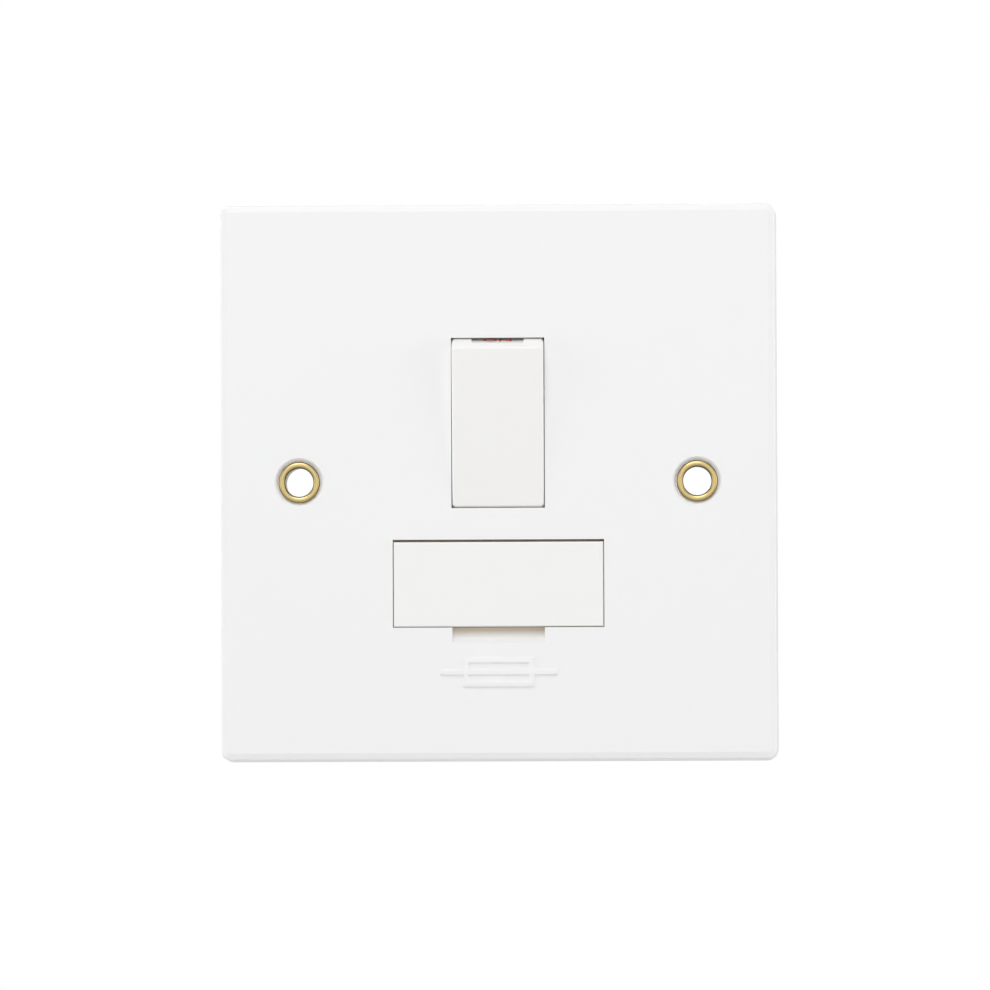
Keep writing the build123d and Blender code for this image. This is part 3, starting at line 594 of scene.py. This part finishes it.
def make_liner(node, x, finish):
    """A brass tube with a rolled bead in front and a spread tail behind, spun about the hole."""
    low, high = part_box(node)
    tail_radius = (high.x - low.x) / 2
    tail_front = high.y - TAIL_THICKNESS
    throat_front = low.y + THROAT_DEPTH
    bead_half = (BEAD_OUTER_RADIUS - BORE_RADIUS) / 2
    bead_root = low.y + BEAD_DEPTH
    shoulder = bead_root - BEAD_SHOULDER
    rise = shoulder - low.y
    profile = [
        (THROAT_RADIUS, high.y),
        (THROAT_RADIUS, throat_front),
        (BORE_RADIUS, throat_front - THROAT_TAPER),
    ]
    for step in range(BEAD_STEPS + 1):
        turn = math.pi * step / BEAD_STEPS
        radius = BEAD_CREST_RADIUS - bead_half * math.cos(turn)
        profile.append((radius, shoulder - rise * math.sin(turn)))
    profile += [
        (BEAD_OUTER_RADIUS, bead_root),
        (TUBE_RADIUS, bead_root),
        (TUBE_RADIUS, tail_front),
        (tail_radius, tail_front),
        (tail_radius, high.y),
    ]
    bm = bmesh.new()
    points = [bm.verts.new((x + radius, y, 0.0)) for radius, y in profile]
    rim = [bm.edges.new(pair) for pair in zip(points, points[1:] + points[:1])]
    bmesh.ops.spin(
        bm, geom=points + rim, cent=(x, 0.0, 0.0), axis=(0.0, 1.0, 0.0), angle=2 * math.pi,
        steps=LINER_STEPS, use_merge=True,
    )
    bmesh.ops.remove_doubles(bm, verts=bm.verts, dist=LINER_MERGE)
    bmesh.ops.recalc_face_normals(bm, faces=bm.faces)
    liner = finish_piece(f"{node}_liner", bm, finish, "housing")
    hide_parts(node)


def both_sides(*distances):
    """Distances to both sides of nought, in rising order."""
    return [-distance for distance in reversed(distances)] + list(distances)


def make_fuse_sign(finish):
    """A raised fuse sign: a box with a line through it from end to end."""
    face_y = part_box("front_plate")[0].y
    lines_x = both_sides(SIGN_BOX_INNER_X, SIGN_BOX_OUTER_X, SIGN_LINE_END)
    lines_z = both_sides(SIGN_LINE_HALF, SIGN_BOX_INNER_Z, SIGN_BOX_OUTER_Z)
    columns, rows = len(lines_x) - 1, len(lines_z) - 1
    bm = bmesh.new()
    bmesh.ops.create_grid(bm, x_segments=columns, y_segments=rows, size=1.0)
    for vert in bm.verts:
        column = round((vert.co.x + 1.0) / 2.0 * columns)
        row = round((vert.co.y + 1.0) / 2.0 * rows)
        vert.co = (lines_x[column], face_y + SIGN_SINK, SIGN_MIDDLE_Z + lines_z[row])
    bare = []
    for face in bm.faces:
        middle = face.calc_center_median()
        x, z = abs(middle.x), abs(middle.z - SIGN_MIDDLE_Z)
        on_line = z < SIGN_LINE_HALF
        on_box = x < SIGN_BOX_OUTER_X and (x > SIGN_BOX_INNER_X or z > SIGN_BOX_INNER_Z)
        if not (on_line or on_box):
            bare.append(face)
    bmesh.ops.delete(bm, geom=bare, context="FACES")
    raised = bmesh.ops.extrude_face_region(bm, geom=bm.faces[:], use_keep_orig=True)["geom"]
    tops = verts_in(raised)
    bmesh.ops.translate(bm, vec=(0.0, -(SIGN_SINK + SIGN_RELIEF), 0.0), verts=tops)
    bmesh.ops.recalc_face_normals(bm, faces=bm.faces)
    on_top = set(tops)
    edges = [
        edge for edge in bm.edges
        if on_top.issuperset(edge.verts) and edge.calc_face_angle(0.0) > SHARP_ANGLE
    ]
    bmesh.ops.bevel(
        bm, geom=edges, offset=SIGN_EDGE, offset_type="OFFSET", affect="EDGES",
        segments=SIGN_EDGE_STEPS, profile=0.5, material=-1,
    )
    finish_piece("fuse_sign", bm, finish, "housing")


def make_on_mark(finish):
    """The word ON printed on the sloped panel in the rocker's upper end."""
    curve = bpy.data.curves.new("on_mark_text", "FONT")
    curve.body = "ON"
    curve.size = MARK_SIZE
    curve.align_x = "CENTER"
    curve.extrude = MARK_THICKNESS / 2
    text = add_object("on_mark_text", curve)
    bpy.context.view_layer.update()
    shaped = text.evaluated_get(bpy.context.evaluated_depsgraph_get())
    flat = bpy.data.meshes.new_from_object(shaped)
    bpy.data.objects.remove(text)
    bm = bmesh.new()
    bm.from_mesh(flat)
    bpy.data.meshes.remove(flat)
    bmesh.ops.remove_doubles(bm, verts=bm.verts, dist=MARK_MERGE)
    bmesh.ops.recalc_face_normals(bm, faces=bm.faces)
    run = (PANEL_HEAD - PANEL_FOOT).normalized()
    start = PANEL_FOOT + run * MARK_SETBACK
    slope = Matrix.Rotation(math.atan2(run.y, run.x), 4, "X")
    lie = Matrix.Translation((0.0, start.x, start.y)) @ slope
    lift = Matrix.Translation((0.0, 0.0, MARK_THICKNESS / 2))
    pivot = Matrix.Translation(find_joint("rocker_tilt")["pos_m"])
    onto_rocker = pivot @ Matrix.Rotation(ROCKER_TILT, 4, "X")
    bmesh.ops.transform(bm, matrix=onto_rocker @ lie @ lift, verts=bm.verts)
    finish_piece("on_mark", bm, finish, "rocker")


def rear_faces(bm):
    """The faces of the flat end that looks along +Z, while a screw is still upright."""
    top = max(vert.co.z for vert in bm.verts)
    return [face for face in bm.faces if all(top - vert.co.z < FLATNESS for vert in face.verts)]


def turn_screw(head_radius, head_height, shank_radius, length):
    """An upright screw with a rounded rim, the flat end of its head at nought."""
    screw = bmesh.new()
    bmesh.ops.create_cone(
        screw, cap_ends=True, segments=SCREW_SIDES, radius1=head_radius, radius2=head_radius,
        depth=head_height,
    )
    bmesh.ops.translate(screw, vec=(0.0, 0.0, -head_height / 2), verts=screw.verts)
    rim = rear_faces(screw)[0].edges[:]
    bmesh.ops.bevel(
        screw, geom=rim, offset=SCREW_RIM, offset_type="OFFSET", affect="EDGES",
        segments=SCREW_RIM_STEPS, profile=0.5, material=-1,
    )
    bottom = min(screw.faces, key=lambda face: face.calc_center_median().z)
    if shank_radius < head_radius:
        bmesh.ops.inset_region(
            screw, faces=[bottom], thickness=head_radius - shank_radius, use_even_offset=True,
        )
        shank = bmesh.ops.extrude_face_region(screw, geom=[bottom])["geom"]
        bmesh.ops.delete(screw, geom=[bottom], context="FACES")
        bmesh.ops.translate(screw, vec=(0.0, 0.0, head_height - length), verts=verts_in(shank))
    return screw


def cut_slot(screw, head_radius, crossed):
    """Sinks a straight or a crossed driver slot in the flat end of an upright screw."""
    half_slot = SCREW_RECESS_WIDTH / 2
    half_run = head_radius - 2 * SCREW_RIM
    for level in (-half_run, -half_slot, half_slot, half_run):
        for normal in ((1.0, 0.0, 0.0), (0.0, 1.0, 0.0)):
            flat = rear_faces(screw)
            parts = [item for face in flat for item in (face, *face.edges, *face.verts)]
            bmesh.ops.bisect_plane(
                screw, geom=list(dict.fromkeys(parts)), plane_co=Vector(normal) * level,
                plane_no=normal,
            )
    slot = []
    for face in rear_faces(screw):
        middle = face.calc_center_median()
        across, along = abs(middle.y), abs(middle.x)
        in_slot = across < half_slot and along < half_run
        in_cross = crossed and along < half_slot and across < half_run
        if in_slot or in_cross:
            slot.append(face)
    sunk = bmesh.ops.extrude_face_region(screw, geom=slot)["geom"]
    bmesh.ops.delete(screw, geom=slot, context="FACES")
    bmesh.ops.translate(screw, vec=(0.0, 0.0, -SCREW_RECESS_DEPTH), verts=verts_in(sunk))
    bmesh.ops.recalc_face_normals(screw, faces=screw.faces)


def make_screws(node, places, head_radius, head_height, shank_radius, crossed, finish):
    """Screws with a driver slot, turned once and set at each place."""
    low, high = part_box(node)
    screw = turn_screw(head_radius, head_height, shank_radius, high.y - low.y)
    cut_slot(screw, head_radius, crossed)
    to_rear = Matrix.Rotation(-QUARTER_TURN, 3, "X")
    bmesh.ops.rotate(screw, cent=(0.0, 0.0, 0.0), matrix=to_rear, verts=screw.verts)
    pattern = to_mesh(f"{node}_pattern", screw)
    bm = bmesh.new()
    for place, (x, z) in enumerate(places):
        turned = pattern.copy()
        turn = Matrix.Rotation(SCREW_TURN * place, 4, "Y")
        turned.transform(Matrix.Translation((x, high.y, z)) @ turn)
        bm.from_mesh(turned)
        bpy.data.meshes.remove(turned)
    bpy.data.meshes.remove(pattern)
    screws = finish_piece(f"{node}_slotted", bm, finish, "housing")
    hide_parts(node)


def make_terminal_screws(finish):
    low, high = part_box("terminal_screws")
    radius = TERMINAL_SCREW_RADIUS
    pitch = (high.x - low.x - 2 * radius) / (TERMINAL_COUNT - 1)
    middle_z = (low.z + high.z) / 2
    places = [(low.x + radius + pitch * place, middle_z) for place in range(TERMINAL_COUNT)]
    make_screws("terminal_screws", places, radius, high.y - low.y, radius, False, finish)


def make_housing_screws(finish):
    low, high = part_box("housing_screws")
    radius = HOUSING_HEAD_RADIUS
    places = [(low.x + radius, high.z - radius), (high.x - radius, low.z + radius)]
    make_screws(
        "housing_screws", places, radius, HOUSING_HEAD_HEIGHT, HOUSING_SHANK_RADIUS, True, finish,
    )


def make_plunger_spring(pole, finish):
    """A wound spring with a closed turn at each end, set round its plunger and riding on the rocker."""
    node = f"{pole}_plunger_spring"
    low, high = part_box(f"{pole}_plunger")
    pivot = Vector(find_joint("rocker_tilt")["pos_m"])
    pivot.x = (low.x + high.x) / 2
    length = SPRING_HEAD - SPRING_FOOT
    closed_rise = 2 * SPRING_WIRE_RADIUS
    # The open turns rise by what two closed turns and the wire's own thickness leave
    open_rise = length - 3 * closed_rise
    bm = bmesh.new()
    bmesh.ops.create_circle(
        bm, cap_ends=True, segments=SPRING_WIRE_SIDES, radius=SPRING_WIRE_RADIUS,
    )
    upright = Matrix.Rotation(QUARTER_TURN, 3, "X")
    bmesh.ops.rotate(bm, cent=(0.0, 0.0, 0.0), matrix=upright, verts=bm.verts)
    start = (SPRING_COIL_RADIUS, 0.0, SPRING_FOOT + SPRING_WIRE_RADIUS)
    bmesh.ops.translate(bm, vec=start, verts=bm.verts)
    wire = bm.verts[:] + bm.edges[:] + bm.faces[:]
    for turns, rise in ((1, closed_rise), (SPRING_OPEN_TURNS, open_rise), (1, closed_rise)):
        steps = turns * SPRING_TURN_STEPS
        wire = bmesh.ops.spin(
            bm, geom=wire, cent=(0.0, 0.0, 0.0), axis=(0.0, 0.0, 1.0),
            dvec=(0.0, 0.0, rise / steps), angle=2 * math.pi * turns, steps=steps,
        )["geom_last"]
    bmesh.ops.recalc_face_normals(bm, faces=bm.faces)
    lean = Matrix.Rotation(ROCKER_TILT - QUARTER_TURN, 4, "X")
    bmesh.ops.transform(bm, matrix=Matrix.Translation(pivot) @ lean, verts=bm.verts)
    spring = finish_piece(f"{node}_wound", bm, finish, "rocker")
    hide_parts(node)
    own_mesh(spring)


brass_liner = liner_brass()
make_liner("left_eyelet", -FIXING_X, brass_liner)
make_liner("right_eyelet", FIXING_X, brass_liner)
make_fuse_sign(finishes["plate_moulding"])
make_on_mark(moulding("mark_red", colour=(0.78, 0.10, 0.08), gloss=0.4, tone=0.1))
make_terminal_screws(screw_steel("terminal_screws"))
make_housing_screws(screw_steel("housing_screws"))
make_plunger_spring("line", finishes["spring_steel"])
make_plunger_spring("neutral", finishes["spring_steel"])


# Floor, light and camera

def make_floor():
    """A pale floor that keeps the shadow, fades to white further away and is clear from below."""
    finish, tree, shader, place = new_finish("pale_floor")
    shader.inputs["Roughness"].default_value = FLOOR_ROUGHNESS
    tone = mix_colour(tree, noise(tree, place, *FLOOR_NOISE), FLOOR_DARKER, FLOOR_LIGHTER)
    tree.links.new(tone, shader.inputs["Base Color"])
    glow = tree.nodes.new("ShaderNodeEmission")
    distance = tree.nodes.new("ShaderNodeVectorMath")
    distance.operation = "LENGTH"
    tree.links.new(place, distance.inputs[0])
    fade = tree.nodes.new("ShaderNodeMapRange")
    fade.interpolation_type = "SMOOTHSTEP"
    fade.inputs["From Min"].default_value = FLOOR_FADE_START
    fade.inputs["From Max"].default_value = FLOOR_FADE_END
    tree.links.new(distance.outputs["Value"], fade.inputs["Value"])
    seen = seen_by(tree, "Is Camera Ray", "Is Glossy Ray")
    white = maths(tree, "MULTIPLY", fade.outputs["Result"], seen)
    above = mix_shaders(tree, white, shader.outputs["BSDF"], glow.outputs["Emission"])
    backfacing = tree.nodes.new("ShaderNodeNewGeometry").outputs["Backfacing"]
    clear = tree.nodes.new("ShaderNodeBsdfTransparent").outputs["BSDF"]
    surface = mix_shaders(tree, backfacing, above, clear)
    tree.links.new(surface, tree.nodes["Material Output"].inputs["Surface"])
    bm = bmesh.new()
    bmesh.ops.create_grid(
        bm, x_segments=FLOOR_CELLS, y_segments=FLOOR_CELLS, size=FLOOR_HALF_SIDE,
    )
    bmesh.ops.translate(bm, vec=(0.0, 0.0, FLOOR_LEVEL), verts=bm.verts)
    mesh = to_mesh("pale_floor", bm)
    mesh.materials.append(finish)
    floor = add_object("pale_floor", mesh)


def make_world():
    """White where it is seen, directly or in a reflection, and a plain soft light otherwise."""
    world = bpy.data.worlds.new("studio")
    bpy.context.scene.world = world
    world.use_nodes = True
    tree = world.node_tree
    ground = tree.nodes["Background"]
    ground.inputs["Color"].default_value = (1.0, 1.0, 1.0, 1.0)
    seen = seen_by(tree, "Is Camera Ray", "Is Glossy Ray", "Is Transmission Ray")
    strength = maths(tree, "MULTIPLY_ADD", seen, 1.0 - AMBIENT, AMBIENT)
    tree.links.new(strength, ground.inputs["Strength"])


def make_lamp(name, place, size, watts):
    """A square lamp that looks at the origin."""
    lamp = bpy.data.lights.new(name, "AREA")
    lamp.shape = "SQUARE"
    lamp.size = size
    lamp.energy = watts
    holder = add_object(name, lamp)
    holder.location = place
    holder.rotation_mode = "QUATERNION"
    holder.rotation_quaternion = (-Vector(place)).to_track_quat("-Z", "Y")


def make_camera():
    """A long lens almost square to the plate, with the fixing holes placed as in the photograph."""
    data = bpy.data.cameras.new("camera")
    camera = add_object("camera", data)
    bpy.context.scene.camera = camera
    front = Vector((0.0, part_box("left_eyelet")[0].y, 0.0))
    back = Vector((
        math.sin(CAMERA_AZIMUTH) * math.cos(CAMERA_ELEVATION),
        -math.cos(CAMERA_AZIMUTH) * math.cos(CAMERA_ELEVATION),
        math.sin(CAMERA_ELEVATION),
    ))
    roll = Matrix.Rotation(CAMERA_ROLL, 3, "Z").to_quaternion()
    turn = (-back).to_track_quat("-Z", "Y") @ roll
    middle = PHOTO_PIXELS / 2
    aside = (HOLES_MIDDLE_PIXEL[0] - middle) / PIXELS_PER_METRE
    above = (middle - HOLES_MIDDLE_PIXEL[1]) / PIXELS_PER_METRE
    aim = front - turn @ Vector((aside, above, 0.0))
    camera.rotation_mode = "QUATERNION"
    camera.rotation_quaternion = turn
    camera.location = aim + back * CAMERA_DISTANCE
    data.sensor_width = SENSOR_WIDTH
    data.lens = SENSOR_WIDTH * PIXELS_PER_METRE * CAMERA_DISTANCE / PHOTO_PIXELS
    data.clip_start = CAMERA_NEAREST
    data.clip_end = CAMERA_FARTHEST


make_floor()
make_world()
for lamp_name, (lamp_place, lamp_size, lamp_watts) in LAMPS.items():
    make_lamp(lamp_name, lamp_place, lamp_size, lamp_watts)
make_camera()
bpy.context.scene.view_settings.view_transform = "Standard"
